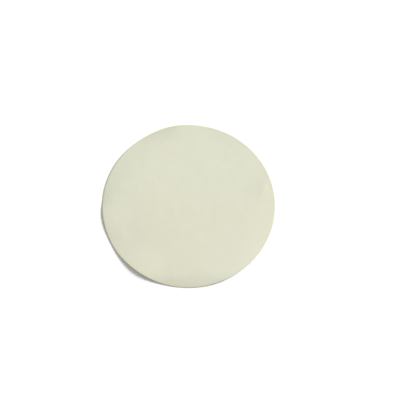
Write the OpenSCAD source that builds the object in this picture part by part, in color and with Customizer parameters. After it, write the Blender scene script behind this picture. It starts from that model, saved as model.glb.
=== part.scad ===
// Round filter paper: one disc, die-cut from flat sheet, lying on a bench as it comes to rest.
// The middle is flat. Round it the rim follows a few soft bends, each about a straight line
// across the sheet, as paper bends. Most let the edge down to the bench, and one lifts it.
// Lengths are in millimetres. +Z is up, and the origin is on the bench below the centre of
// the disc. Directions from the centre are in degrees from +X towards +Y, the far side.

/* [Disc] */
// Diameter of the cut disc
disc_d = 90; // [70:1:185]
// Thickness of the paper
paper_t = 0.18; // [0.12:0.01:0.5]

/* [Near edge] */
// How far in from the edge the near bend starts
near_in = 8; // [5:0.5:16]
// Width over which it curves, before it runs straight to the edge
near_w = 5; // [2:0.5:16]
// How far it lets the edge down
near_drop = 0.85; // [0.3:0.05:1.5]
// How far in from the edge the lip turns down further
lip_in = 3; // [1.5:0.5:5]
// How far the lip lets the edge down
lip_drop = 0.1; // [0:0.05:0.6]

/* [Right edge] */
// How far in from the edge the right-hand bend starts
right_in = 15; // [6:0.5:18]
// Width over which it curves
right_w = 12; // [2:0.5:18]
// How far it lets the edge down
right_drop = 0.5; // [0.3:0.05:1.5]

/* [Left side] */
// How far in from the edge the broad left-hand bend starts
left_in = 28; // [10:0.5:32]
// Width over which it curves
left_w = 12; // [2:0.5:24]
// How far it lets the edge down
left_drop = 0.65; // [0.3:0.05:1.5]
// How far in from the edge the curl on that side starts
curl_in = 7; // [4:0.5:12]
// How far the curl lets the edge down
curl_drop = 0.15; // [0:0.05:0.6]

/* [Far edge] */
// How far in from the edge the far left bend starts
far_left_in = 16; // [8:0.5:20]
// Width over which it curves
far_left_w = 8; // [2:0.5:18]
// How far it lets the edge down
far_left_drop = 0.75; // [0.3:0.05:1.5]
// How far in from the edge the far bend starts
far_in = 6; // [5:0.5:12]
// How far it lets the edge down
far_drop = 0.3; // [0:0.05:1]
// How far in from the edge the far right lift starts
lift_in = 8; // [5:0.5:12]
// How far it lifts the edge above the flat middle
lift = 0.1; // [0:0.05:0.5]

/* [Hidden] */

disc_r = disc_d / 2;
paper_colour = [0.87, 0.87, 0.79];

// The bends, each as [direction, how far in from the edge it starts, width over which it
// curves, rise of the edge]
BENDS = [
    [270, near_in, near_w, -near_drop],
    [267, lip_in, lip_in, -lip_drop],
    [336, right_in, right_w, -right_drop],
    [204, left_in, left_w, -left_drop],
    [180, curl_in, curl_in, -curl_drop],
    [138, far_left_in, far_left_w, -far_left_drop],
    [114, far_in, far_in, -far_drop],
    [60, lift_in, lift_in, lift],
];

// The sheet is laid out in sectors and, round its flat middle, in rings. Each bend's direction
// is a line between two sectors.
sectors = 120;
rings = 16;
// The rings grow narrower towards the edge by this power
narrowing = 1.5;
// The stock reaches this far past the cut, and the last ring but one lies as far inside it.
cut_margin = 1;
// Radius of the flat middle, which ends just inside the deepest bend
flat_r = disc_r - cut_margin - max([for (bend = BENDS) bend[1]]);
// The die stands this far clear of the sheet, below and above
die_clear = 5;

directions = [for (i = [0 : sectors - 1]) 360 * i / sectors];
radii = [
    for (k = [0 : rings - 1])
        disc_r - cut_margin - (disc_r - cut_margin - flat_r) * pow(1 - k / (rings - 1), narrowing),
    disc_r + cut_margin
];
// The lowest stretch of the edge touches the bench, which sets the height of the flat middle.
middle_z = -min([for (a = directions) rise(disc_r, a)]);

// Rise of a bend at a distance past its line, for a final slope of 1 in 1
function bent(distance, width) =
    distance < 0 ? 0 :
    distance < width ? distance * distance / (2 * width) :
    distance - width / 2;

// Share of its edge's rise that a bend gives the sheet at radius r in direction a
function share(bend, r, a) =
    bent(r * cos(a - bend[0]) - (disc_r - bend[1]), bend[2]) / bent(bend[1], bend[2]);

// Rise of the sheet above its flat middle, from all its bends together
function rise(r, a) = [for (bend = BENDS) bend[3]] * [for (bend = BENDS) share(bend, r, a)];

// The same on ring k of the stock, which runs straight on past the cut, so that the cut edge
// keeps its height
function stock_rise(k, a) =
    k < rings ? rise(radii[k], a) : 2 * rise(disc_r, a) - rise(radii[rings - 1], a);

// Bent paper a little larger than the disc
module stock() {
    underside = [
        for (k = [0 : rings], a = directions)
            [radii[k] * cos(a), radii[k] * sin(a), middle_z + stock_rise(k, a)]
    ];
    // Index of a point of the underside. The top's points follow in the same order.
    function at(k, i) = k * sectors + i % sectors;
    top = len(underside);
    steps = [0 : sectors - 1];
    lower_faces = [
        [for (i = steps) at(0, i)],
        for (k = [0 : rings - 1], i = steps)
            each [
                [at(k, i), at(k, i + 1), at(k + 1, i + 1)],
                [at(k, i), at(k + 1, i + 1), at(k + 1, i)],
            ]
    ];
    upper_faces = [
        for (face = lower_faces)
            [for (j = [len(face) - 1 : -1 : 0]) face[j] + top]
    ];
    edge_faces = [
        for (i = steps)
            [at(rings, i), at(rings, i + 1), top + at(rings, i + 1), top + at(rings, i)]
    ];
    polyhedron(
        points = concat(underside, [for (p = underside) p + [0, 0, paper_t]]),
        faces = concat(lower_faces, upper_faces, edge_faces)
    );
}

// The round die that cuts the disc
module die() {
    translate([0, 0, -die_clear])
        cylinder(h = middle_z + lift + paper_t + 2 * die_clear, d = disc_d, $fn = 360);
}

module paper_disc() {
    color(paper_colour)
        intersection() {
            stock();
            die();
        }
}

paper_disc();
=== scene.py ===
"""A round filter paper lying on a pale bench, under soft studio light."""

import math

import bmesh
import bpy
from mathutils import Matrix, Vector


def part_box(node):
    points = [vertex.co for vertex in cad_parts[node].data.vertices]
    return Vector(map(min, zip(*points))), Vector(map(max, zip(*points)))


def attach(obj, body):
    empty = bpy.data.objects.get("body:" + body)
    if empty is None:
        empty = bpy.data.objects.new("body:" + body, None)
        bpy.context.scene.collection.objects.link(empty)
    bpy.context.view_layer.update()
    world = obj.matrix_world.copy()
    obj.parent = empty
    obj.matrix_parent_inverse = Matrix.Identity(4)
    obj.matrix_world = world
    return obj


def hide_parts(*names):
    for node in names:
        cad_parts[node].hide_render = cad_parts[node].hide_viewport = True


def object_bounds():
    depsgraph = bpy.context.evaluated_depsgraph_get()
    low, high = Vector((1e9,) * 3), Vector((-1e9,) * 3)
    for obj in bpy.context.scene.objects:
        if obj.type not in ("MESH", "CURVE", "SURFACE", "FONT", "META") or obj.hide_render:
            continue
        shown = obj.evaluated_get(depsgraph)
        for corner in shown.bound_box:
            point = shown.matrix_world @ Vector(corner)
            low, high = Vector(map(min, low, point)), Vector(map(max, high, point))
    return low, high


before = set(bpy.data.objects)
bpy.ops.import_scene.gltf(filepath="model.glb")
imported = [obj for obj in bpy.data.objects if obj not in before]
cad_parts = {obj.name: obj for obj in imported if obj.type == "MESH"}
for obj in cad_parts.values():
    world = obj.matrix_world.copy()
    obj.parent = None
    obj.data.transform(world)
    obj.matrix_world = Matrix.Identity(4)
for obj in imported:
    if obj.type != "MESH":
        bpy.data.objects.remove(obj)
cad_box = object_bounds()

MM = 0.001
NODE = "paper_disc"

# The sheet's mesh: sectors round it, and rings that are closer together in the bent rim
SECTORS = 288
RIM_BAND = 18 * MM
RIM_RING = 0.5 * MM
MIDDLE_RING = 1.5 * MM
# The edge is modelled just inside the CAD edge, so that every point of it meets the CAD sheet
EDGE_CLEAR = 0.01 * MM
# The flat round starts this far above the CAD sheet
START_CLEAR = 1 * MM
# The cut edge is rounded by this share of the thickness
EDGE_ROUNDING = 0.2
# Corners sharper than this are rounded, and stay crisp in the shading
SHARP_CORNER = math.radians(60)

# Passes that ease the facets out of the bends
EASING = 40

# Cockling: soft waves of this height and spacing, left where the paper dried unevenly
COCKLE_HEIGHT = 0.1 * MM
COCKLE_SPACING = 14 * MM
# They fade out over this width, so that the edge keeps its height on the bench
COCKLE_FADE = 8 * MM

# Creases, each as (its end on the edge, its inner end, rise of its crest, width of the slope
# on its right and on its left). Left and right are as seen looking in from the edge.
CREASES = [
    ((42.2 * MM, 15.3 * MM), (35.2 * MM, 0.6 * MM), 0.24 * MM, 16 * MM, 7.5 * MM),
    ((-5.6 * MM, 44.6 * MM), (-14.5 * MM, 34 * MM), 0.13 * MM, 5.5 * MM, 9 * MM),
]
# Share of a crease's length over which its crest runs down to nothing at its inner end
CREASE_FADE = 0.8
# A crease cuts only the faces within this distance of its line
CREASE_STRIP = 3 * RIM_RING

# Waves that lift the edge or let it down, each as (direction, reach inwards, reach along the
# edge, rise)
WAVES = [
    (math.radians(102), 8.5 * MM, 20 * MM, 0.87 * MM),
    (math.radians(177), 8 * MM, 8 * MM, -0.2 * MM),
    (math.radians(205), 9 * MM, 12 * MM, -0.16 * MM),
    (math.radians(34), 15 * MM, 20 * MM, -0.14 * MM),
    (math.radians(328), 9 * MM, 12 * MM, -0.08 * MM),
]

# Soft dents and rises pressed into the sheet, each as (place, rise, radius). The first domes
# the whole sheet, and the last is the hollow beside the crease at the right.
DENTS = [
    ((0, 0), 0.17 * MM, 62 * MM),
    ((-27 * MM, -36 * MM), 0.5 * MM, 17 * MM),
    ((-12 * MM, -20 * MM), -0.05 * MM, 11 * MM),
    ((-43 * MM, -7 * MM), 0.18 * MM, 16 * MM),
    ((41.8 * MM, 10.5 * MM), -0.1 * MM, 2 * MM),
]

# The camera looks down on the bench through a long lens
CAMERA_ELEVATION = math.radians(69.5)
CAMERA_DISTANCE = 0.903
CAMERA_LENS = 150
CAMERA_SENSOR = 36
# It is aimed this far to the right of the disc's middle, and this far below it in the picture
AIM_RIGHT = 10.1 * MM
AIM_DOWN = 1.5 * MM

# The key light comes from the right, and the sky fills the rest
KEY_DIRECTION = math.radians(27)
KEY_ELEVATION = math.radians(26)
KEY_SHARE = 0.6
KEY_SOFTNESS = math.radians(20)

# The bench is a square of this side. Light bounces off it as off a pale table, but it looks white.
BENCH_SIZE = 8
BENCH_GREY = (0.85, 0.85, 0.85)
BENCH_WHITE = (1.03, 1.03, 1.03)

# Unbleached linters: pale cream, a little cooler and lighter here, warmer and darker there. The
# lighter and darker parts are partly the paper's own tone and partly painted light and shade, a slow
# drift of lightness over the sheet
COOL_PAPER_AND_LIGHT = (0.732, 0.740, 0.597)
WARM_PAPER_AND_SHADE = (0.731, 0.721, 0.575)
SPECK_COLOUR = (0.60, 0.585, 0.43)
# The edge's colour is partly the pinched paper's own and partly painted shade along the cut
PINCHED_EDGE_AND_SHADE_COLOUR = (0.690, 0.685, 0.520)

# Within this distance of the cut the paper is darker: partly the die's pinch, which makes it denser,
# and partly painted shade along the edge
PINCH_AND_EDGE_SHADE = 0.9 * MM
# Air has yellowed the rim over this width, and leaves these shares of red, green and blue at the edge
YELLOW_RIM = 2.3 * MM
YELLOWING = (1, 0.998, 0.935)
# The tint drifts slowly over the sheet, in patches of this size, taken from this place on its noise.
# It is partly the paper's own tone and partly painted light and shade
TINT_AND_SHADE_SIZE = 50 * MM
TINT_AND_SHADE_PLACE = (-227 * MM, 500 * MM)
# It is all cool and lighter at the first of these levels of its noise, and all warm and darker at the
# second
TINT_AND_SHADE_RANGE = (0.3, 0.7)
# On top of that it is faintly mottled, in patches of this size
MOTTLE_SIZE = 5 * MM
MOTTLE_STRENGTH = 1.5
# Sizes in the felt: the cloudy formation, its tufts, and the fibres that lie in them
CLOUD_SIZE = 3.2 * MM
TUFT_SIZE = 0.55 * MM
FIBRE_LENGTH = 3.2 * MM
FIBRE_PITCH = 0.14 * MM
# Shares of its length and pitch, out from its middle, at which a fibre is gone and is full
FIBRE_RANGE = (0.45, 0.1)
FIBRE_TURNS = [math.radians(turn) for turn in (8, 41, 65, 98, 127, 152)]
FIBRE_WAVE = 0.7 * MM
FIBRE_WAVE_SIZE = 1.5 * MM
# Lightness of the bare pulp, and what clouds, tufts and fibres add to it
PULP_LIGHT = 0.934
CLOUD_LIGHT = 0.04
TUFT_LIGHT = 0.03
FIBRE_LIGHT = 0.04
# Roughness of the bare pulp, what tufts and fibres take off it, and the faint shine
PULP_ROUGHNESS = 0.97
TUFT_SMOOTHNESS = 0.08
FIBRE_SMOOTHNESS = 0.08
SHINE = 0.3
# Height of the felt's relief, and how strongly each of the three makes it
RELIEF = 0.012 * MM
CLOUD_RELIEF = 0.8
TUFT_RELIEF = 0.7
FIBRE_RELIEF = 0.6

# Two faint marks in the pulp, each as (place, length, width, turn)
MARKS = [
    ((-15.2 * MM, 14.4 * MM), 3.6 * MM, 0.7 * MM, math.radians(-3)),
    ((35.8 * MM, -19.9 * MM), 2.6 * MM, 0.5 * MM, math.radians(8)),
]
# Share of a mark's half size at which it starts to fade
MARK_CORE = 0.3
# Shives: tiny scraps of bark, a little fainter than the marks. Each cell of this spacing draws
# a number from 0 to 1: at the first of these levels it has no shive, and at the second a full one.
SHIVE_SPACING = 7 * MM
SHIVE_SIZE = 0.16 * MM
SHIVE_RANGE = (0.5, 0.55)
SHIVE_STRENGTH = 0.7
# How strongly marks and shives take on their colour
SPECK_STRENGTH = 0.6


class Signal:
    """One output of a shader node. Arithmetic on it adds Math nodes to its tree."""

    def __init__(self, shader, socket):
        self.shader = shader
        self.socket = socket

    def math(self, operation, *values):
        inputs = dict(enumerate(values))
        return self.shader.add("Math", {"operation": operation}, inputs)

    def __add__(self, other):
        return self.math("ADD", self, other)

    def __radd__(self, other):
        return self.math("ADD", other, self)

    def __sub__(self, other):
        return self.math("SUBTRACT", self, other)

    def __rsub__(self, other):
        return self.math("SUBTRACT", other, self)

    def __mul__(self, other):
        return self.math("MULTIPLY", self, other)

    def __rmul__(self, other):
        return self.math("MULTIPLY", other, self)

    def most(self, other):
        return self.math("MAXIMUM", self, other)


class Shader:
    """The node tree of a material or of the world."""

    def __init__(self, owner):
        owner.use_nodes = True
        self.tree = owner.node_tree
        self.tree.nodes.clear()

    def add(self, kind, settings=None, inputs=None, output=0):
        """Adds a node, sets it up, feeds its sockets and gives one of its outputs."""
        node = self.tree.nodes.new("ShaderNode" + kind)
        for name, value in (settings or {}).items():
            setattr(node, name, value)
        for key, value in (inputs or {}).items():
            self.feed(self.socket(node, key), value)
        return Signal(self, node.outputs[output]) if node.outputs else None

    @staticmethod
    def socket(node, key):
        """A socket by its place or, among those in use, by its name."""
        if isinstance(key, int):
            return node.inputs[key]
        return next(s for s in node.inputs if s.name == key and s.enabled)

    def feed(self, socket, value):
        if isinstance(value, Signal):
            self.tree.links.new(value.socket, socket)
        elif socket.type == "RGBA" and len(value) == 3:
            socket.default_value = (*value, 1)
        else:
            socket.default_value = value

    def ramp(self, value, low, high):
        """Rises smoothly from 0 to 1 as the value goes from low to high."""
        settings = {"interpolation_type": "SMOOTHSTEP"}
        return self.add("MapRange", settings, {"Value": value, "From Min": low, "From Max": high})

    def mix_colour(self, factor, first, second):
        inputs = {"Factor": factor, "A": first, "B": second}
        return self.add("Mix", {"data_type": "RGBA"}, inputs, output=2)

    def vector_math(self, operation, first, second):
        return self.add("VectorMath", {"operation": operation}, {0: first, 1: second})

    def scaled(self, vector, factor):
        """The vector or colour, made larger or smaller all over."""
        return self.add("VectorMath", {"operation": "SCALE"}, {0: vector, "Scale": factor})

    def placed(self, place, at=(0, 0), size=(1, 1, 1), turn=0):
        """Coordinates from a place outwards, turned, and counted in the given sizes."""
        inputs = {"Vector": place, "Location": (*at, 0), "Rotation": (0, 0, turn), "Scale": size}
        return self.add("Mapping", {"vector_type": "TEXTURE"}, inputs)

    def length(self, place):
        return self.add("VectorMath", {"operation": "LENGTH"}, {0: place}, output="Value")

    def noise(self, place, size, detail=2, output=0):
        """Soft noise with features of about the given size."""
        inputs = {"Vector": place, "Scale": 1 / size, "Detail": detail}
        return self.add("TexNoise", {}, inputs, output)


def felt(shader, place):
    """The lay of the fibres: thin strands of finite length, a little wavy, in all directions."""
    drift = shader.noise(place, FIBRE_WAVE_SIZE, output="Color")
    waves = shader.vector_math("SUBTRACT", drift, (0.5, 0.5, 0.5))
    wavy = shader.vector_math("ADD", place, shader.scaled(waves, FIBRE_WAVE))
    fibres = 0
    for turn in FIBRE_TURNS:
        along = shader.placed(wavy, size=(FIBRE_LENGTH, FIBRE_PITCH, 1), turn=turn)
        settings = {"voronoi_dimensions": "2D"}
        away = shader.add("TexVoronoi", settings, {"Vector": along, "Scale": 1}, output="Distance")
        fibres = shader.ramp(away, *FIBRE_RANGE).most(fibres)
    return fibres


def specks(shader, place):
    """The two marks and the shives, as one mask."""
    marks = 0
    for at, length, width, turn in MARKS:
        away = shader.length(shader.placed(place, at, (length / 2, width / 2, 1), turn))
        marks += shader.ramp(away, 1, MARK_CORE)
    cells = {"Vector": place, "Scale": 1 / SHIVE_SPACING}
    settings = {"voronoi_dimensions": "2D"}
    away = shader.add("TexVoronoi", settings, cells, output="Distance")
    drawn = shader.add("TexVoronoi", settings, cells, output="Color")
    reach = SHIVE_SIZE / 2 / SHIVE_SPACING
    shives = shader.ramp(away, reach, reach / 2) * shader.ramp(drawn, *SHIVE_RANGE)
    return marks + shives * SHIVE_STRENGTH


def filter_paper(radius):
    """Unglazed cotton paper: matt, pale cream, felted from short fibres."""
    material = bpy.data.materials.new("filter paper")
    shader = Shader(material)
    place = shader.add("TexCoord", output="Object")
    flat = shader.vector_math("MULTIPLY", place, (1, 1, 0))

    clouds = shader.noise(place, CLOUD_SIZE, detail=3)
    tufts = shader.noise(place, TUFT_SIZE, detail=2)
    fibres = felt(shader, place)

    # Painted light and shade, partly the paper's own tone: the slow drift makes the sheet lighter
    # where it is cool and darker where it is warm
    tint_and_shade_stock = shader.placed(place, TINT_AND_SHADE_PLACE)
    tint_and_shade = shader.ramp(shader.noise(tint_and_shade_stock, TINT_AND_SHADE_SIZE, detail=3), *TINT_AND_SHADE_RANGE)
    mottle = shader.noise(place, MOTTLE_SIZE, detail=3) - 0.5
    colour = shader.mix_colour(tint_and_shade + mottle * MOTTLE_STRENGTH, COOL_PAPER_AND_LIGHT, WARM_PAPER_AND_SHADE)
    light = PULP_LIGHT + clouds * CLOUD_LIGHT + tufts * TUFT_LIGHT + fibres * FIBRE_LIGHT
    colour = shader.scaled(colour, light)
    from_middle = shader.length(flat)
    aged = shader.ramp(from_middle, radius - YELLOW_RIM, radius)
    colour = shader.mix_colour(aged, colour, shader.vector_math("MULTIPLY", colour, YELLOWING))
    # Painted shade along the cut, together with the die's pinch: the rim darkens towards the edge
    pinched_and_shaded = shader.ramp(from_middle, radius - PINCH_AND_EDGE_SHADE, radius)
    colour = shader.mix_colour(pinched_and_shaded, colour, PINCHED_EDGE_AND_SHADE_COLOUR)
    colour = shader.mix_colour(specks(shader, flat) * SPECK_STRENGTH, colour, SPECK_COLOUR)

    height = fibres * FIBRE_RELIEF + tufts * TUFT_RELIEF + clouds * CLOUD_RELIEF
    bump = shader.add("Bump", inputs={"Height": height, "Distance": RELIEF})
    roughness = PULP_ROUGHNESS - tufts * TUFT_SMOOTHNESS - fibres * FIBRE_SMOOTHNESS
    surface = shader.add(
        "BsdfPrincipled",
        inputs={
            "Base Color": colour,
            "Roughness": roughness,
            "Specular IOR Level": SHINE,
            "Normal": bump,
        },
    )
    shader.add("OutputMaterial", inputs={"Surface": surface})
    return material


def only(piece):
    """Selects one piece and nothing else."""
    bpy.ops.object.select_all(action="DESELECT")
    piece.select_set(True)
    bpy.context.view_layer.objects.active = piece


def apply(piece, kind, **settings):
    """Adds a modifier to the piece, sets it up and applies it, then clears its weights."""
    only(piece)
    modifier = piece.modifiers.new(kind.lower(), kind)
    for name, value in settings.items():
        setattr(modifier, name, value)
    bpy.ops.object.modifier_apply(modifier=modifier.name)
    piece.vertex_groups.clear()


def pick(piece, kind, wanted):
    """Selects, in edit mode, the faces or points that pass a test, and nothing else."""
    bpy.ops.mesh.select_mode(type="FACE" if kind == "faces" else "VERT")
    bpy.ops.mesh.select_all(action="DESELECT")
    mesh = bmesh.from_edit_mesh(piece.data)
    for item in getattr(mesh, kind):
        if wanted(item):
            item.select_set(True)
    bmesh.update_edit_mesh(piece.data)


def flat_round(name, radius, height):
    """A flat round of quads in rings, drawn from its edge inwards."""
    bpy.ops.object.select_all(action="DESELECT")
    bpy.ops.mesh.primitive_circle_add(
        vertices=SECTORS, radius=radius, fill_type="NGON", location=(0, 0, height)
    )
    piece = bpy.context.active_object
    piece.name = name
    bpy.ops.object.transform_apply(location=True)
    bpy.ops.object.mode_set(mode="EDIT")
    bpy.ops.mesh.select_mode(type="FACE")
    bpy.ops.mesh.select_all(action="SELECT")
    left = radius
    while left > 2 * MIDDLE_RING:
        ring = RIM_RING if radius - left < RIM_BAND else MIDDLE_RING
        bpy.ops.mesh.inset(thickness=ring)
        left -= ring
    bpy.ops.mesh.poke()
    bpy.ops.object.mode_set(mode="OBJECT")
    return piece


def lay_on(piece, target):
    """Lets the flat round down on the CAD sheet's upper face, point by point."""
    apply(
        piece,
        "SHRINKWRAP",
        target=target,
        wrap_method="PROJECT",
        use_project_z=True,
        use_positive_direction=False,
        use_negative_direction=True,
    )


def weigh(piece, weight):
    """A group of the piece's points, each with the weight that a function gives its place."""
    group = piece.vertex_groups.new(name="moved")
    for point in piece.data.vertices:
        share = weight(point.co)
        if share > 0:
            group.add([point.index], min(share, 1), "REPLACE")
    return group.name


def ease(piece, radius):
    """Eases the facets out of the bends, up and down only. The edge itself stays."""
    group = weigh(piece, lambda place: 1 if place.xy.length < radius - RIM_RING / 2 else 0)
    apply(
        piece, "SMOOTH", factor=0.5, iterations=EASING, use_x=False, use_y=False, vertex_group=group
    )


def cockle(piece, radius):
    """Waves the sheet softly, less and less towards its edge."""
    waves = bpy.data.textures.new("cockles", "CLOUDS")
    waves.noise_scale = COCKLE_SPACING
    waves.noise_depth = 1
    apply(
        piece,
        "DISPLACE",
        texture=waves,
        direction="Z",
        strength=COCKLE_HEIGHT,
        mid_level=0.5,
        vertex_group=weigh(piece, lambda place: (radius - place.xy.length) / COCKLE_FADE),
    )


def crease(piece, outer, inner, rise, right_width, left_width):
    """Pinches up a crease along a line from the edge inwards."""
    outer = Vector((*outer, 0))
    line = Vector((*inner, 0)) - outer
    length = line.length
    along = line / length
    rightward = along.cross(Vector((0, 0, 1)))

    def near(face):
        step = face.calc_center_median() - outer
        return step.dot(along) < length and abs(step.dot(rightward)) < CREASE_STRIP

    def climb(place):
        step = place - outer
        off = step.dot(rightward)
        across = max(1 - abs(off) / (right_width if off > 0 else left_width), 0) ** 2
        return across * min((length - step.dot(along)) / (CREASE_FADE * length), 1)

    only(piece)
    bpy.ops.object.mode_set(mode="EDIT")
    pick(piece, "faces", near)
    bpy.ops.mesh.bisect(plane_co=outer, plane_no=rightward)
    bpy.ops.object.mode_set(mode="OBJECT")
    group = weigh(piece, climb)
    apply(piece, "DISPLACE", direction="Z", strength=rise, mid_level=0, vertex_group=group)


def wave(piece, radius, direction, reach, spread, rise):
    """Lifts the edge, or lets it down, in a soft wave that runs out inwards and to both sides."""
    outward = Vector((math.cos(direction), math.sin(direction)))

    def climb(place):
        inward = max(1 - (radius - place.xy.length) / reach, 0)
        aside = max(1 - place.xy.angle(outward, math.pi) * radius / spread, 0)
        return inward**2 * aside**2 * (3 - 2 * aside)

    group = weigh(piece, climb)
    apply(piece, "DISPLACE", direction="Z", strength=rise, mid_level=0, vertex_group=group)


def dent(piece, at, rise, radius):
    """Presses one round dent or rise into the sheet."""
    at = Vector(at)
    only(piece)
    bpy.ops.object.mode_set(mode="EDIT")
    points = bmesh.from_edit_mesh(piece.data).verts
    nearest = min(points, key=lambda point: (point.co.xy - at).length).index
    pick(piece, "verts", lambda point: point.index == nearest)
    bpy.ops.transform.translate(
        value=(0, 0, rise),
        use_proportional_edit=True,
        proportional_edit_falloff="SMOOTH",
        proportional_size=radius,
    )
    bpy.ops.object.mode_set(mode="OBJECT")


def sheet_thickness(sheet):
    """The CAD sheet's thickness, measured through its middle from well above and below."""
    above = Vector((0, 0, 1))
    upper = sheet.ray_cast(above, -above)[1]
    lower = sheet.ray_cast(-above, above)[1]
    return upper.z - lower.z


def paper_disc():
    """The disc of paper: the CAD sheet's bends eased, creased, waved and dented, its edge softened."""
    cad_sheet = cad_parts[NODE]
    low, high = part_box(NODE)
    radius = (high.x - low.x) / 2 - EDGE_CLEAR
    thickness = sheet_thickness(cad_sheet)
    sheet = flat_round("filter_paper", radius, high.z + START_CLEAR)
    lay_on(sheet, cad_sheet)
    ease(sheet, radius)
    cockle(sheet, radius)
    for fold in CREASES:
        crease(sheet, *fold)
    for ripple in WAVES:
        wave(sheet, radius, *ripple)
    for hollow in DENTS:
        dent(sheet, *hollow)
    apply(sheet, "SOLIDIFY", thickness=thickness, offset=-1)
    apply(
        sheet,
        "BEVEL",
        width=EDGE_ROUNDING * thickness,
        segments=2,
        limit_method="ANGLE",
        angle_limit=SHARP_CORNER,
    )
    only(sheet)
    bpy.ops.object.shade_smooth_by_angle(angle=SHARP_CORNER)
    sheet.data.materials.append(filter_paper(radius))
    return sheet


def seen_as_white(shader):
    """1 for what the camera sees, directly, in gloss or through glass, and 0 for lighting."""
    return (
        shader.add("LightPath", output="Is Camera Ray")
        .most(shader.add("LightPath", output="Is Glossy Ray"))
        .most(shader.add("LightPath", output="Is Transmission Ray"))
    )


def bench():
    """A pale floor, white where the light reaches it and darker in the disc's shadow."""
    bpy.ops.object.select_all(action="DESELECT")
    bpy.ops.mesh.primitive_plane_add(size=BENCH_SIZE)
    floor = bpy.context.active_object
    floor.name = "bench"
    material = bpy.data.materials.new("white bench")
    shader = Shader(material)
    colour = shader.mix_colour(seen_as_white(shader), BENCH_GREY, BENCH_WHITE)
    surface = shader.add("BsdfDiffuse", inputs={"Color": colour})
    shader.add("OutputMaterial", inputs={"Surface": surface})
    floor.data.materials.append(material)


def studio_light():
    """A soft key from one side, and an even sky that makes up the rest of a plain level."""
    world = bpy.data.worlds.new("sky")
    bpy.context.scene.world = world
    shader = Shader(world)
    strength = seen_as_white(shader) * KEY_SHARE + (1 - KEY_SHARE)
    sky = shader.add("Background", inputs={"Color": (1, 1, 1), "Strength": strength})
    shader.add("OutputWorld", inputs={"Surface": sky})
    bpy.ops.object.light_add(type="SUN")
    key = bpy.context.active_object
    key.name = "key"
    key.data.angle = KEY_SOFTNESS
    key.data.energy = math.pi * KEY_SHARE / math.sin(KEY_ELEVATION)
    towards = Vector(
        (
            math.cos(KEY_DIRECTION) * math.cos(KEY_ELEVATION),
            math.sin(KEY_DIRECTION) * math.cos(KEY_ELEVATION),
            math.sin(KEY_ELEVATION),
        )
    )
    key.rotation_euler = towards.to_track_quat("Z", "Y").to_euler()


def camera(centre):
    """Looks down on the disc from the near side."""
    back = Vector((0, -math.cos(CAMERA_ELEVATION), math.sin(CAMERA_ELEVATION)))
    turn = back.to_track_quat("Z", "Y")
    aim = centre + turn @ Vector((AIM_RIGHT, -AIM_DOWN, 0))
    bpy.ops.object.camera_add(location=aim + back * CAMERA_DISTANCE, rotation=turn.to_euler())
    eye = bpy.context.active_object
    eye.data.lens = CAMERA_LENS
    eye.data.sensor_width = CAMERA_SENSOR
    bpy.context.scene.camera = eye


bpy.context.scene.view_settings.view_transform = "Standard"
sheet = paper_disc()
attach(sheet, "root")
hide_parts(NODE)
bench()
studio_light()
camera((cad_box[0] + cad_box[1]) / 2)
